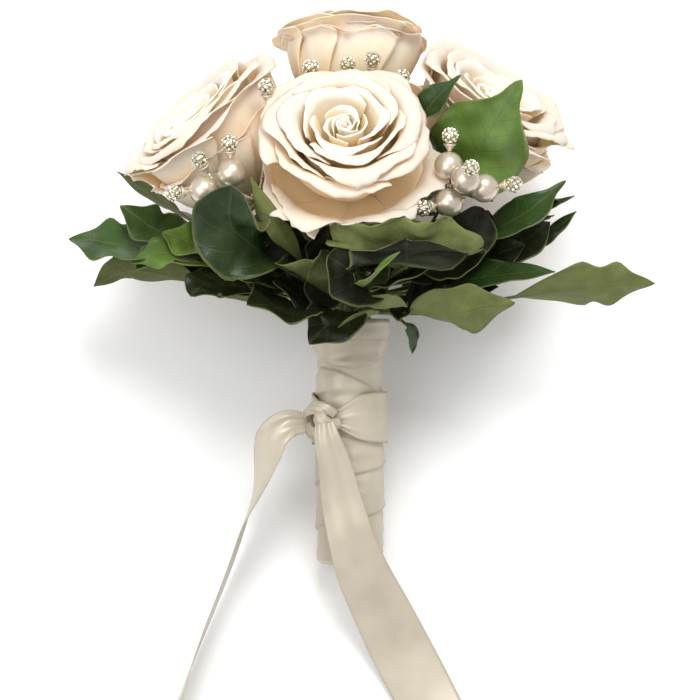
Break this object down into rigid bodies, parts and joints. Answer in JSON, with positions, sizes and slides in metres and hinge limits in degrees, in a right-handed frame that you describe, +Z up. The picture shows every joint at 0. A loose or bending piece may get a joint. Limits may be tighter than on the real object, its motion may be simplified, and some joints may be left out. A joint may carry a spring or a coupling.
{
  "type": "bridal bouquet",
  "caption": "Hand-tied bouquet of open cream roses over a collar of ivy leaves, with pearl and crystal picks, a satin-wrapped handle, a knot and two ribbon tails, lying on its back.",
  "frame": {"origin": "middle of the bouquet's box, on the surface that it lies on", "axes": "+Z up from the surface, +Y along the bouquet from the ribbon tails' ends to the blooms, +X to the right as the picture shows it"},
  "size_m": [0.2502, 0.3186, 0.137],
  "materials": {
    "petal": "soft matt petal",
    "leaf": "waxy leaf",
    "stem": "matt green stem",
    "satin": "ivory satin",
    "pearl": "pearl gloss",
    "wire": "champagne coated wire",
    "crystal": "foil-backed cut stones"
  },
  "bodies": {
    "root": {"rose_front": "petal", "rose_left": "petal", "rose_right": "petal", "rose_top": "petal", "rose_back_left": "petal", "rose_back_right": "petal", "stem_bundle": "stem", "ribbon_wrap": "satin", "ribbon_tie": "satin", "ribbon_tail_front": "satin", "ribbon_tail_side": "satin", "sprig_far_left": "leaf", "sprig_left_under": "leaf", "sprig_left_upper": "leaf", "sprig_left_under_rose": "leaf", "sprig_left_cup": "leaf", "sprig_left_round": "leaf", "sprig_low_left": "leaf", "sprig_funnel": "leaf", "sprig_low_middle": "leaf", "sprig_wavy": "leaf", "sprig_right_dark": "leaf", "sprig_green_sail": "leaf", "sprig_right_long": "leaf", "sprig_right_thin": "leaf", "sprig_right_thin_low": "leaf", "sprig_right_low": "leaf", "sprig_far_right": "leaf", "sprig_low_right": "leaf", "sprig_drop": "leaf", "sprig_far_1": "leaf", "sprig_far_2": "leaf", "sprig_far_3": "leaf", "sprig_far_4": "leaf", "sprig_far_5": "leaf", "sprig_far_6": "leaf", "sprig_far_7": "leaf", "pick_wires_right": "wire", "pick_wires_left": "wire", "pick_wires_top": "wire", "pearl_right_1": "pearl", "pearl_right_2": "pearl", "pearl_right_3": "pearl", "pearl_right_4": "pearl", "pearl_left_1": "pearl", "pearl_left_2": "pearl", "crystal_right_1": "crystal", "crystal_right_2": "crystal", "crystal_right_3": "crystal", "crystal_right_4": "crystal", "crystal_left_1": "crystal", "crystal_left_2": "crystal", "crystal_left_3": "crystal", "crystal_left_4": "crystal", "crystal_top_1": "crystal", "crystal_top_2": "crystal", "crystal_top_3": "crystal", "crystal_top_4": "crystal"}
  },
  "joints": []
}
